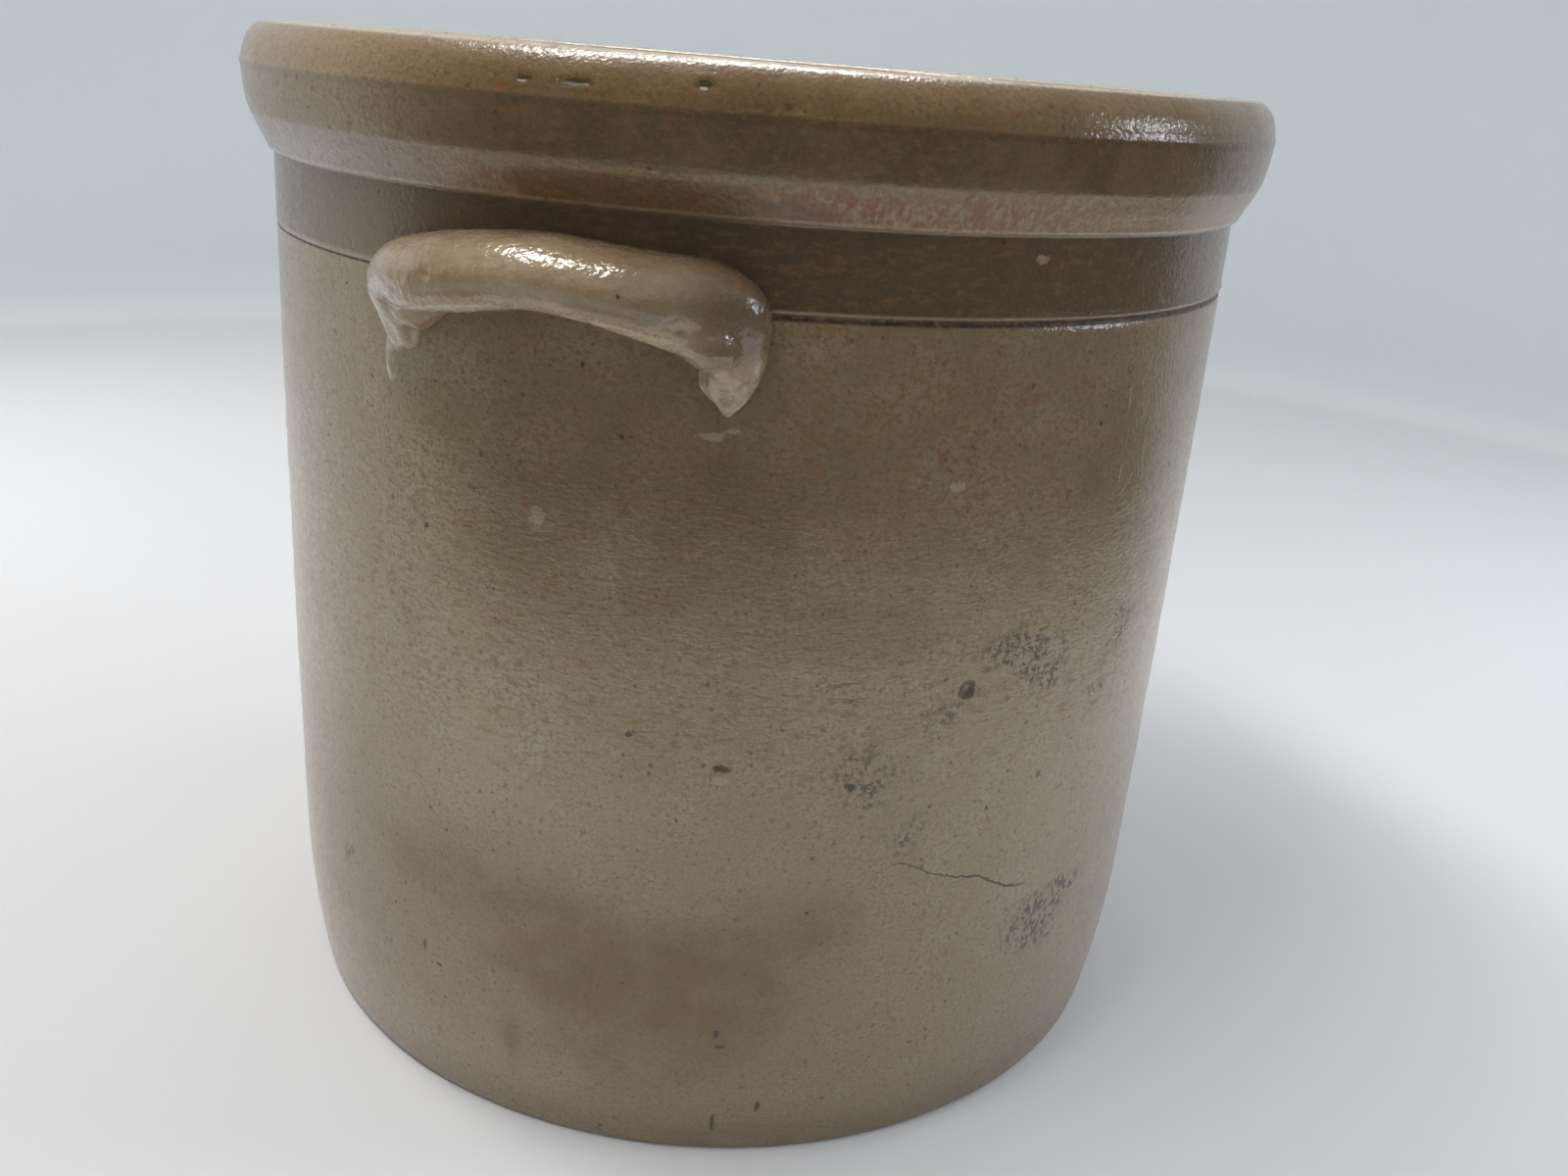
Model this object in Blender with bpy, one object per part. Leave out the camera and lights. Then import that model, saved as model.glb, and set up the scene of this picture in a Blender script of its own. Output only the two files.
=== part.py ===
"""Stoneware fermenting crock, about 20 litres, with its wooden follower and two half-moon weights.

The crock is thrown in one piece with a heavy rolled rim, and two lug handles are luted to its wall.
Inside lie the pieces that hold a ferment under its brine: a round follower of four boards, pegged to
two battens, and a pair of stoneware weights that rest on the battens.

Frame: metres, +Z up, origin at the centre of the crock's flat base. The handles are on the Y axis.
Turned shapes are profiles of (radius, height) points that are spun about Z.
"""
import math

import bmesh
import bpy

# Crock, thrown in one piece
HEIGHT = 0.318
BELLY_RADIUS = 0.1585
BELLY_HEIGHT = 0.165
BELLY_BEND = 0.094            # radius lost per square metre of distance from the belly's height
FOOT_HEIGHT = 0.048
FOOT_DRAW = 0.0055            # how far the foot draws in at the base
FOOT_POWER = 1.85
WALL = 0.0125
FLOOR = 0.014
FLOOR_FILLET = 0.010
TURNS = 64                    # facets round the crock

# Rolled rim
RIM_LOW = 0.2822              # height of the rim's lower edge
RIM_STEP = 0.0016             # how far that edge stands out of the wall
FACET_TOP = 0.2929
FACET_RADIUS = 0.1647
RIDGE_RADIUS = 0.1663
RIM_ROUND = 0.0075            # the rim's outer shoulder
LAND_INNER = 0.1495           # inner edge of the flat land on top
BORE_AT_RIM = 0.1455

# Tooled line round the wall, below the rim
LINE_HEIGHT = 0.2603
LINE_WIDTH = 0.0024
LINE_DEPTH = 0.0010

# Lug handles
LUG_SPAN = 0.0455             # half the arch, from its middle to the middle of a leg
LUG_RISE = 0.0225
LUG_SQUARENESS = 3.4          # 2 is an ellipse, more is a flatter arch with tighter shoulders
LUG_LEG_HEIGHT = 0.245        # height where the arch turns into its legs
LUG_LEG_LENGTH = 0.0115
LUG_LEG_SHARE = 0.84          # share of the sweep that the arch takes, before the legs
LUG_WIDTH = 0.0172
LUG_PROUD = 0.0250            # how far the middle stands out of the wall
LEG_PROUD = 0.0090
LUG_LEG_INWARD = 0.0020       # how far a tip lies inside its leg
LUG_LIP_DROP = 0.0035         # how far the outer lip hangs below the root
LUG_ROOT = 0.0030
LUG_STATIONS = 24
LUG_RING = 14

# Follower
FOLLOWER_RADIUS = 0.131
BOARD_THICKNESS = 0.018
BOARD_COUNT = 4
BATTEN_LENGTH = 0.206
BATTEN_WIDTH = 0.030
BATTEN_THICKNESS = 0.015
BATTEN_OFFSET = 0.060
PEG_RADIUS = 0.0040
PEG_SIDES = 16
WOOD_BEVEL = 0.0014

# Weights
WEIGHT_RADIUS = 0.124
WEIGHT_THICKNESS = 0.032
WEIGHT_SPLIT = 0.0025         # half the gap between the two weights
WEIGHT_CORNER = 0.010
NOTCH_RADIUS = 0.017
WEIGHT_BEVEL = 0.0045

GAP = 0.0003                  # clearance between pieces that touch

BOARD_BOTTOM = FLOOR + GAP
BOARD_TOP = BOARD_BOTTOM + BOARD_THICKNESS
BATTEN_BOTTOM = BOARD_TOP + GAP
BATTEN_TOP = BATTEN_BOTTOM + BATTEN_THICKNESS
WEIGHT_BOTTOM = BATTEN_TOP + GAP


def clear_scene():
    for obj in list(bpy.data.objects):
        bpy.data.objects.remove(obj, do_unlink=True)


def make_material(name, colour, roughness):
    material = bpy.data.materials.new(name)
    material.use_nodes = True
    shader = material.node_tree.nodes["Principled BSDF"]
    shader.inputs["Base Color"].default_value = (*colour, 1.0)
    shader.inputs["Roughness"].default_value = roughness
    shader.inputs["Metallic"].default_value = 0.0
    return material


def add_object(name, bm, material, smooth_angle=None):
    """Turn a finished bmesh into a named object, with its faces pointing out."""
    bmesh.ops.recalc_face_normals(bm, faces=bm.faces)
    mesh = bpy.data.meshes.new(name)
    bm.to_mesh(mesh)
    bm.free()
    if smooth_angle is not None:
        mesh.shade_smooth()
        mesh.set_sharp_from_angle(angle=math.radians(smooth_angle))
    if material is not None:
        mesh.materials.append(material)
    obj = bpy.data.objects.new(name, mesh)
    bpy.context.collection.objects.link(obj)
    return obj


def make_cutter(obj):
    obj.hide_render = True
    obj.display_type = "WIRE"
    return obj


def cut(obj, cutter):
    boolean = obj.modifiers.new("cut", "BOOLEAN")
    boolean.operation = "DIFFERENCE"
    boolean.solver = "EXACT"
    boolean.object = cutter


def round_edges(obj, width, segments):
    bevel = obj.modifiers.new("round_edges", "BEVEL")
    bevel.width = width
    bevel.segments = segments
    bevel.limit_method = "ANGLE"
    bevel.angle_limit = math.radians(40)


def arc(centre, radius, start, end, steps):
    """Points along an arc in a plane, angles in degrees, both ends included."""
    angles = [math.radians(start + (end - start) * i / steps) for i in range(steps + 1)]
    return [(centre[0] + radius * math.cos(a), centre[1] + radius * math.sin(a)) for a in angles]


def turned(profile):
    """Spin a profile whose two ends lie on the Z axis into a closed solid."""
    bm = bmesh.new()
    points = [bm.verts.new((r, 0.0, z)) for r, z in profile]
    edges = [bm.edges.new(pair) for pair in zip(points, points[1:])]
    bmesh.ops.spin(bm, geom=points + edges, cent=(0, 0, 0), axis=(0, 0, 1),
                   angle=math.tau, steps=TURNS, use_merge=True)
    bmesh.ops.remove_doubles(bm, verts=bm.verts, dist=1e-6)
    return bm


def prism(outline, bottom, top):
    """A solid with a flat outline of (x, y) points between two heights."""
    bm = bmesh.new()
    face = bm.faces.new([bm.verts.new((x, y, bottom)) for x, y in outline])
    grown = bmesh.ops.extrude_face_region(bm, geom=[face])
    moved = [item for item in grown["geom"] if isinstance(item, bmesh.types.BMVert)]
    bmesh.ops.translate(bm, verts=moved, vec=(0, 0, top - bottom))
    return bm


# ---- Crock ----

def wall_radius(z):
    """Outer radius of the wall: a shallow belly over a foot that draws in."""
    belly = BELLY_RADIUS - BELLY_BEND * (z - BELLY_HEIGHT) ** 2
    return belly - FOOT_DRAW * max(0.0, 1.0 - z / FOOT_HEIGHT) ** FOOT_POWER


def outer_profile():
    """The outside, from the base's centre up to the flat land on the rim."""
    foot = [(wall_radius(z), z) for z in (0.0, 0.004, 0.010, 0.018, 0.028, 0.040)]
    wall = [(wall_radius(z), z) for z in (0.060, 0.110, 0.165, 0.215, LINE_HEIGHT - LINE_WIDTH / 2)]
    line = [(wall_radius(LINE_HEIGHT) - LINE_DEPTH, LINE_HEIGHT)]
    neck = [(wall_radius(z), z) for z in (LINE_HEIGHT + LINE_WIDTH / 2, RIM_LOW - 0.0006)]
    facet = [(wall_radius(RIM_LOW) + RIM_STEP, RIM_LOW), (FACET_RADIUS, FACET_TOP)]
    ridge = [(RIDGE_RADIUS, HEIGHT - RIM_ROUND - 0.006)]
    shoulder = arc((RIDGE_RADIUS - RIM_ROUND, HEIGHT - RIM_ROUND), RIM_ROUND, 0, 90, 4)
    return [(0.0, 0.0)] + foot + wall + line + neck + facet + ridge + shoulder


def inner_profile():
    """The inside, from the rim's flat land down to the floor's centre."""
    lip = [(LAND_INNER, HEIGHT), (LAND_INNER - 0.0028, HEIGHT - 0.0011),
           (BORE_AT_RIM, HEIGHT - 0.0038)]
    wall = [(wall_radius(z) - WALL, z) for z in (0.280, 0.215, 0.165, 0.110, 0.060)]
    corner_height = FLOOR + FLOOR_FILLET
    corner_radius = wall_radius(corner_height) - WALL - FLOOR_FILLET
    corner = arc((corner_radius, corner_height), FLOOR_FILLET, 0, -90, 4)
    return lip + wall + corner + [(0.0, FLOOR)]


def crock_body(material):
    return add_object("crock_body", turned(outer_profile() + inner_profile()), material, 30)


# ---- Lug handles ----

def lug_spine(t):
    """Place along the lug, t from -1 to 1: (sideways, height, leg share, fade towards the tip)."""
    side = math.copysign(1.0, t)
    if abs(t) <= LUG_LEG_SHARE:
        turn = abs(t) / LUG_LEG_SHARE * math.pi / 2
        power = 2 / LUG_SQUARENESS
        across = side * LUG_SPAN * math.sin(turn) ** power
        height = LUG_LEG_HEIGHT + LUG_RISE * math.cos(turn) ** power
        return across, height, (abs(across) / LUG_SPAN) ** 5, 1.0
    down = (abs(t) - LUG_LEG_SHARE) / (1 - LUG_LEG_SHARE)
    inward = LUG_LEG_INWARD * down
    return side * (LUG_SPAN - inward), LUG_LEG_HEIGHT - LUG_LEG_LENGTH * down, 1.0, 1.0 - 0.78 * down


def lug_ring(t):
    """One cross-section as (sideways, height, outward) points: a coil whose lower lip hangs."""
    across, height, leg, fade = lug_spine(t)
    step = 0.004
    ahead = lug_spine(min(1.0, t + step))
    behind = lug_spine(max(-1.0, t - step))
    run = math.hypot(ahead[0] - behind[0], ahead[1] - behind[1])
    up = (-(ahead[1] - behind[1]) / run, (ahead[0] - behind[0]) / run)
    proud = (LUG_PROUD + (LEG_PROUD - LUG_PROUD) * leg) * fade
    width = LUG_WIDTH * (1 - 0.15 * leg) * (0.35 + 0.65 * fade)
    drop = LUG_LIP_DROP * (1 - leg)
    ring = []
    for k in range(LUG_RING):
        a = math.tau * k / LUG_RING
        squared = [math.copysign(abs(value) ** 0.8, value) for value in (math.cos(a), math.sin(a))]
        outward = -LUG_ROOT + (proud + LUG_ROOT) * (squared[0] + 1) / 2
        rise = width / 2 * squared[1] - drop * ((squared[0] + 1) / 2) ** 2
        ring.append((across + up[0] * rise, height + up[1] * rise, outward))
    return ring


def lug_mesh():
    """Sweep the sections round the wall, on the side that faces -Y."""
    bm = bmesh.new()
    rings = []
    for i in range(LUG_STATIONS + 1):
        ring = []
        for across, height, outward in lug_ring(2 * i / LUG_STATIONS - 1):
            radius = wall_radius(height)
            angle = -math.pi / 2 + across / radius
            reach = radius + outward
            ring.append(bm.verts.new((reach * math.cos(angle), reach * math.sin(angle), height)))
        rings.append(ring)
    for ring, following in zip(rings, rings[1:]):
        for k in range(LUG_RING):
            after = (k + 1) % LUG_RING
            bm.faces.new((ring[k], ring[after], following[after], following[k]))
    bm.faces.new(rings[0])
    bm.faces.new(list(reversed(rings[-1])))
    return bm


def wall_envelope():
    """The space that the wall and its clearance fill beside the handles."""
    heights = (0.205, 0.225, 0.245, 0.265, 0.281)
    side = [(wall_radius(z) + GAP, z) for z in heights]
    return turned([(0.0, heights[0])] + side + [(0.0, heights[-1])])


def lug_handles(material):
    envelope = make_cutter(add_object("wall_envelope", wall_envelope(), None))
    front = add_object("front_handle", lug_mesh(), material, 50)
    back = bpy.data.objects.new("back_handle", front.data)
    bpy.context.collection.objects.link(back)
    back.rotation_euler = (0, 0, math.pi)
    cut(front, envelope)
    cut(back, envelope)
    return front, back


# ---- Follower ----

def board_edges(index):
    """The two x values between which a board lies."""
    width = 2 * FOLLOWER_RADIUS / BOARD_COUNT
    left = -FOLLOWER_RADIUS + width * index
    return left + GAP, left + width - GAP


def board_outline(left, right):
    """The part of the follower's disc between two x values, counter-clockwise."""
    def angle_at(x):
        return math.degrees(math.acos(max(-1.0, min(1.0, x / FOLLOWER_RADIUS))))
    steps = 8
    near, far = angle_at(right), angle_at(left)
    upper = arc((0, 0), FOLLOWER_RADIUS, near, far, steps)
    lower = arc((0, 0), FOLLOWER_RADIUS, -far, -near, steps)
    outline = upper + lower
    kept = [outline[0]]
    for point in outline[1:]:
        if math.dist(point, kept[-1]) > 1e-5:
            kept.append(point)
    if math.dist(kept[0], kept[-1]) <= 1e-5:
        kept.pop()
    return kept


def peg_places():
    """Where the pegs stand: each board is held once at each batten."""
    places = []
    for row, y in (("front", -BATTEN_OFFSET), ("back", BATTEN_OFFSET)):
        for index in range(BOARD_COUNT):
            left, right = board_edges(index)
            middle = (left + right) / 2
            reach = BATTEN_LENGTH / 2 - 0.014
            places.append((f"{row}_peg_{index + 1}", max(-reach, min(reach, middle)), y))
    return places


def peg_holes():
    bm = bmesh.new()
    for _, x, y in peg_places():
        made = bmesh.ops.create_cone(bm, cap_ends=True, segments=PEG_SIDES,
                                     radius1=PEG_RADIUS + GAP, radius2=PEG_RADIUS + GAP,
                                     depth=3 * (BOARD_THICKNESS + BATTEN_THICKNESS))
        bmesh.ops.translate(bm, verts=made["verts"], vec=(x, y, BATTEN_BOTTOM))
    return make_cutter(add_object("peg_holes", bm, None))


def follower_boards(material, holes):
    names = ("left_outer_board", "left_inner_board", "right_inner_board", "right_outer_board")
    boards = []
    for index, name in enumerate(names):
        outline = board_outline(*board_edges(index))
        board = add_object(name, prism(outline, BOARD_BOTTOM, BOARD_TOP), material)
        round_edges(board, WOOD_BEVEL, 1)
        cut(board, holes)
        boards.append(board)
    return boards


def batten_outline(y):
    """A batten with clipped corners."""
    half, side, clip = BATTEN_LENGTH / 2, BATTEN_WIDTH / 2, 0.006
    return [(half - clip, y - side), (half, y - side + clip), (half, y + side - clip),
            (half - clip, y + side), (clip - half, y + side), (-half, y + side - clip),
            (-half, y - side + clip), (clip - half, y - side)]


def follower_battens(material, holes):
    battens = []
    for name, y in (("front_batten", -BATTEN_OFFSET), ("back_batten", BATTEN_OFFSET)):
        batten = add_object(name, prism(batten_outline(y), BATTEN_BOTTOM, BATTEN_TOP), material)
        round_edges(batten, WOOD_BEVEL, 1)
        cut(batten, holes)
        battens.append(batten)
    return battens


def peg_mesh(material):
    """One peg, standing on the origin, a little shorter than the wood it goes through."""
    length = BATTEN_TOP - BOARD_BOTTOM - 2 * GAP
    bm = bmesh.new()
    bmesh.ops.create_cone(bm, cap_ends=True, segments=PEG_SIDES, radius1=PEG_RADIUS,
                          radius2=PEG_RADIUS, depth=length)
    bmesh.ops.translate(bm, verts=bm.verts, vec=(0, 0, length / 2))
    peg = add_object("peg_pattern", bm, material, 40)
    mesh = peg.data
    bpy.data.objects.remove(peg)
    return mesh


def follower_pegs(material):
    mesh = peg_mesh(material)
    pegs = []
    for name, x, y in peg_places():
        peg = bpy.data.objects.new(name, mesh)
        bpy.context.collection.objects.link(peg)
        peg.location = (x, y, BOARD_BOTTOM + GAP)
        pegs.append(peg)
    return pegs


# ---- Weights ----

def weight_outline():
    """Half a disc on the +X side, with rounded corners and a finger notch in its straight edge."""
    split, corner = WEIGHT_SPLIT, WEIGHT_CORNER
    corner_x = split + corner
    corner_y = math.sqrt((WEIGHT_RADIUS - corner) ** 2 - corner_x ** 2)
    turn = math.degrees(math.atan2(corner_y, corner_x))
    edge = arc((0, 0), WEIGHT_RADIUS, -turn, turn, 20)
    top = arc((corner_x, corner_y), corner, turn, 180, 4)[1:]
    bottom = arc((corner_x, -corner_y), corner, 180, 360 - turn, 4)[:-1]
    notch = arc((split, 0), NOTCH_RADIUS, 90, -90, 10)
    return edge + top + notch + bottom


def half_moon_weights(material):
    bm = prism(weight_outline(), 0.0, WEIGHT_THICKNESS)
    right = add_object("right_half_weight", bm, material)
    left = bpy.data.objects.new("left_half_weight", right.data)
    bpy.context.collection.objects.link(left)
    left.rotation_euler = (0, 0, math.pi)
    for weight in (left, right):
        weight.location = (0, 0, WEIGHT_BOTTOM)
        round_edges(weight, WEIGHT_BEVEL, 2)
    return left, right


def group_under(name, pieces):
    """Parent the pieces that lift out together to one empty on the crock's axis."""
    empty = bpy.data.objects.new(name, None)
    bpy.context.collection.objects.link(empty)
    for piece in pieces:
        piece.parent = empty
    return empty


def build():
    clear_scene()
    salt_glaze = make_material("salt_glaze", (0.270, 0.205, 0.135), 0.34)
    pale_glaze = make_material("pale_glaze", (0.430, 0.330, 0.225), 0.25)
    board_wood = make_material("board_wood", (0.330, 0.200, 0.105), 0.60)
    batten_wood = make_material("batten_wood", (0.290, 0.170, 0.085), 0.60)
    peg_wood = make_material("peg_wood", (0.380, 0.250, 0.140), 0.55)
    weight_glaze = make_material("weight_glaze", (0.450, 0.390, 0.300), 0.35)

    crock_body(salt_glaze)
    lug_handles(pale_glaze)
    holes = peg_holes()
    boards = follower_boards(board_wood, holes)
    battens = follower_battens(batten_wood, holes)
    pegs = follower_pegs(peg_wood)
    follower = group_under("follower", boards + battens + pegs)
    for weight in half_moon_weights(weight_glaze):
        weight.parent = follower


build()
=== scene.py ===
"""Looks for a stoneware fermenting crock with a wooden follower and two half-moon weights.

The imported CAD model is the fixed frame. The crock and its two lug handles are replaced by finer
meshes with the marks of throwing, luting and salt firing; the pieces inside get worked surfaces.
Frame: metres, +Z up, origin at the centre of the base. Angles are in degrees about Z, and the
front handle is at -90. Colours are linear RGB.
"""

import math

import bmesh
import bpy
import numpy as np
from mathutils import Matrix, Vector, noise


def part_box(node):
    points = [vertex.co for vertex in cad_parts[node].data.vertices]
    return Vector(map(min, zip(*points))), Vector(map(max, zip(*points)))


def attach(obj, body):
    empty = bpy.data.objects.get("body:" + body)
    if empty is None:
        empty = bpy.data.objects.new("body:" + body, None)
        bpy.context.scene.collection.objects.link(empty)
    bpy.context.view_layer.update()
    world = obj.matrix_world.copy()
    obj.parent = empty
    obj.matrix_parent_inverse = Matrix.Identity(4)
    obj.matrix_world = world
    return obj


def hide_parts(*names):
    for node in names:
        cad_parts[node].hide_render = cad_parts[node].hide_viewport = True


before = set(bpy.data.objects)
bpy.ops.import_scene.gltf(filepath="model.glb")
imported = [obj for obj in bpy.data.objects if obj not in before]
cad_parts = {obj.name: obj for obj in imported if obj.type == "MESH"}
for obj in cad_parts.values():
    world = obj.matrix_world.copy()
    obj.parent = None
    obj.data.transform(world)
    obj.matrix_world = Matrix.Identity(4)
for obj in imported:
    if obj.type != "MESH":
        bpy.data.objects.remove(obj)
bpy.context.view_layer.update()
MM = 0.001

# Crock, from the frame
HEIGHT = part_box("crock_body")[1].z
RIM_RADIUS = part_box("crock_body")[1].x
FIT_GAP = 0.0003              # the follower's clearance over the crock's floor
FLOOR_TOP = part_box("left_inner_board")[0].z - FIT_GAP
BELLY_RADIUS = RIM_RADIUS - 0.0097
BELLY_HEIGHT = 0.170
BELLY_BEND = 0.045            # how fast the wall draws in away from the belly
FOOT_HEIGHT = 0.049
FOOT_DRAW = 0.0042
FOOT_POWER = 1.85
FOOT_ROUND = 0.0018
BORE_RADIUS = RIM_RADIUS - 0.0203
BORE_HEIGHT = 0.165
BORE_BEND = 0.094
BORE_SPAN = (0.306, 0.030)
FLOOR_FILLET = 0.010
RIM_LOW = HEIGHT - 0.0358     # lower edge of the rolled rim
LAND_HEIGHT = HEIGHT - 0.0002
LAND_RADII = (0.1540, 0.1515)
LIP_CENTRE = 0.1492
LIP_ROUND = 0.0034
LINE_HEIGHT = 0.2603          # tooled line round the wall

# View of the camera, which stands close and a little above the handle
VIEW_TURN = 17.2              # how far the camera stands round from the front handle
VIEW_DISTANCE = 1.5575 * HEIGHT
VIEW_HEIGHT = 1.0044 * HEIGHT
VIEW_YAW = 2.27
VIEW_PITCH = 20.82
VIEW_ROLL = 4.68
VIEW_LENS = 32.026            # millimetres, with a sensor 36 mm wide

STAGE_RADIUS = 1.25
STAGE_HEIGHT = 1.1
STAGE_SWEEP = 0.06            # radius of the turn from floor to wall
STAGE_DROP = 0.0002           # the floor lies this far below the crock


# ---- Small helpers ----

def noise_at(points, scale, seed=0.0):
    """Smooth noise, about -1 to 1, at each of the points. scale is a number or one for each axis."""
    moved = np.asarray(points) * np.asarray(scale) + seed
    return np.array([noise.noise(Vector(point)) for point in moved])


def smooth(edge0, edge1, value):
    """0 before edge0, 1 after edge1, and an even curve between."""
    t = np.clip((value - edge0) / (edge1 - edge0), 0.0, 1.0)
    return t * t * (3 - 2 * t)


def turn_between(angle, centre):
    """Signed turn from centre to angle, -180 to 180."""
    return (np.asarray(angle) - centre + 180.0) % 360.0 - 180.0


def spline(points, count):
    """A smooth open curve through the points, resampled evenly in its parameter."""
    points = np.asarray(points, float)
    padded = np.vstack([2 * points[0] - points[1], points, 2 * points[-1] - points[-2]])
    places = np.linspace(0, len(points) - 1, count)
    return catmull(padded, places)


def ring_spline(points, count):
    """The same for a closed curve."""
    points = np.asarray(points, float)
    padded = np.vstack([points[-1], points, points[0], points[1]])
    places = np.linspace(0, len(points), count, endpoint=False)
    return catmull(padded, places)


def catmull(padded, places):
    """Points of a Catmull-Rom curve; padded has one more control point at each end."""
    first = np.minimum(places.astype(int), len(padded) - 4)
    t = (places - first)[:, None]
    p0, p1, p2, p3 = (padded[first + k] for k in range(4))
    return 0.5 * (2 * p1 + (p2 - p0) * t + (2 * p0 - 5 * p1 + 4 * p2 - p3) * t ** 2
                  + (3 * p1 - p0 - 3 * p2 + p3) * t ** 3)


def graded(low, high, step, fine):
    """Places from low to high, a step apart, and closer inside each (from, to, step) of fine."""
    places = [low]
    while places[-1] < high:
        here = min([step] + [s for start, stop, s in fine if start <= places[-1] <= stop])
        places.append(places[-1] + here)
    places[-1] = high
    return np.array(places)


def link_object(name, data):
    obj = bpy.data.objects.new(name, data)
    bpy.context.collection.objects.link(obj)
    return obj


def object_from(name, bm):
    """A smooth-shaded object from a bmesh, which is freed."""
    mesh = bpy.data.meshes.new(name)
    bm.to_mesh(mesh)
    bm.free()
    mesh.shade_smooth()
    return link_object(name, mesh)


def points_of(obj):
    flat = np.empty(len(obj.data.vertices) * 3)
    obj.data.vertices.foreach_get("co", flat)
    return flat.reshape(-1, 3)


def set_points(obj, points):
    obj.data.vertices.foreach_set("co", np.asarray(points, float).ravel())
    obj.data.update()


def normals_of(obj):
    flat = np.empty(len(obj.data.vertices) * 3)
    obj.data.vertex_normals.foreach_get("vector", flat)
    return flat.reshape(-1, 3)


def set_mask(obj, name, values):
    """Store one number for each vertex, for the material to read."""
    layer = obj.data.attributes.new(name, "FLOAT", "POINT")
    layer.data.foreach_set("value", np.asarray(values, np.float32))


def set_material(obj, material):
    obj.data.materials.clear()
    obj.data.materials.append(material)


def finish_piece(obj, body, node, material):
    set_material(obj, material)
    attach(obj, body)
    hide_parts(node)


# ---- Node materials ----

class Shading:
    """Short calls that build one material's nodes."""

    def __init__(self, name):
        self.material = bpy.data.materials.new(name)
        self.material.use_nodes = True
        self.tree = self.material.node_tree
        self.shader = self.tree.nodes["Principled BSDF"]
        self.place = self.add("ShaderNodeTexCoord").outputs["Object"]

    def find_turn(self):
        """Give the material its height and its angle round the crock."""
        split = self.add("ShaderNodeSeparateXYZ")
        self.feed(split.inputs[0], self.place)
        self.height = split.outputs[2]
        turned = self.math("ARCTAN2", split.outputs[1], split.outputs[0])
        self.degrees = self.times(turned, 180 / math.pi)

    def add(self, kind, **settings):
        node = self.tree.nodes.new(kind)
        for key, value in settings.items():
            setattr(node, key, value)
        return node

    def feed(self, socket, value):
        if isinstance(value, bpy.types.NodeSocket):
            self.tree.links.new(value, socket)
        elif isinstance(value, tuple) and len(value) == 3 and socket.type == "RGBA":
            socket.default_value = (*value, 1.0)
        else:
            socket.default_value = value

    def math(self, operation, a, b=0.0, clamp=False):
        node = self.add("ShaderNodeMath", operation=operation, use_clamp=clamp)
        self.feed(node.inputs[0], a)
        self.feed(node.inputs[1], b)
        return node.outputs[0]

    def times(self, a, b):
        return self.math("MULTIPLY", a, b)

    def plus(self, a, b, clamp=False):
        return self.math("ADD", a, b, clamp)

    def minus(self, a, b):
        return self.math("SUBTRACT", a, b)

    def over(self, a, b):
        return self.math("DIVIDE", a, b)

    def away(self, value, middle):
        """How far the value is from the middle."""
        return self.math("ABSOLUTE", self.minus(value, middle))

    def mask(self, name):
        return self.add("ShaderNodeAttribute", attribute_name=name).outputs["Fac"]

    def vector(self, operation, *values):
        node = self.add("ShaderNodeVectorMath", operation=operation)
        for socket, value in zip(node.inputs, values):
            self.feed(socket, value)
        return node.outputs[0]

    def noise(self, scale, detail=2.0, rough=0.5, stretch=None, warp=0.0):
        node = self.add("ShaderNodeTexNoise")
        place = self.vector("MULTIPLY", self.place, stretch) if stretch else self.place
        self.feed(node.inputs["Vector"], place)
        self.feed(node.inputs["Scale"], scale)
        self.feed(node.inputs["Detail"], detail)
        self.feed(node.inputs["Roughness"], rough)
        self.feed(node.inputs["Distortion"], warp)
        return node.outputs["Fac"]

    def cells(self, scale, vector, output):
        node = self.add("ShaderNodeTexVoronoi", feature="F1")
        self.feed(node.inputs["Vector"], vector)
        self.feed(node.inputs["Scale"], scale)
        return node.outputs[output]

    def step(self, value, low, high, out_low=0.0, out_high=1.0):
        """A smooth step; it falls where low is above high."""
        node = self.add("ShaderNodeMapRange", interpolation_type="SMOOTHSTEP")
        for key, given in (("Value", value), ("From Min", low), ("From Max", high),
                           ("To Min", out_low), ("To Max", out_high)):
            self.feed(node.inputs[key], given)
        return node.outputs[0]

    def within(self, value, start, full, until, gone):
        """1 from full to until, and 0 before start and after gone."""
        return self.times(self.step(value, start, full), self.step(value, gone, until))

    def mix(self, factor, a, b, blend="MIX"):
        node = self.add("ShaderNodeMix", data_type="RGBA", blend_type=blend)
        self.feed(node.inputs[0], factor)
        self.feed(node.inputs[6], a)
        self.feed(node.inputs[7], b)
        return node.outputs[2]

    def mottled(self, a, b, field):
        """Two colours, blended where the noise field passes its middle."""
        return self.mix(self.step(field, 0.35, 0.65), a, b)

    def tint(self, colour, other, mask, share):
        """Lay a share of the other colour over the first where the mask is."""
        return self.mix(self.times(mask, share), colour, other)

    def layered(self, colour, layers):
        """Lay each of the layers, (mask, share, colour), over the ones before."""
        for mask, share, other in layers:
            colour = self.tint(colour, other, mask, share)
        return colour

    def specks(self, scale, size, share, seed=0.0):
        """Scattered round specks: a share of the cells hold one, of the given size in metres."""
        ragged = self.add("ShaderNodeTexNoise")
        self.feed(ragged.inputs["Vector"], self.place)
        self.feed(ragged.inputs["Scale"], 0.9 / size)
        wobble = self.vector("MULTIPLY_ADD", ragged.outputs["Color"], (1.3 * size,) * 3, (seed,) * 3)
        shifted = self.vector("ADD", self.place, wobble)
        distance = self.cells(scale, shifted, "Distance")
        pick = self.add("ShaderNodeSeparateColor")
        self.feed(pick.inputs[0], self.cells(scale, shifted, "Color"))
        reach = self.times(pick.outputs[1], size * scale)
        inside = self.step(distance, reach, self.times(reach, 0.5))
        chosen = self.math("LESS_THAN", pick.outputs[0], share)
        return self.times(inside, chosen)

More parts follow.
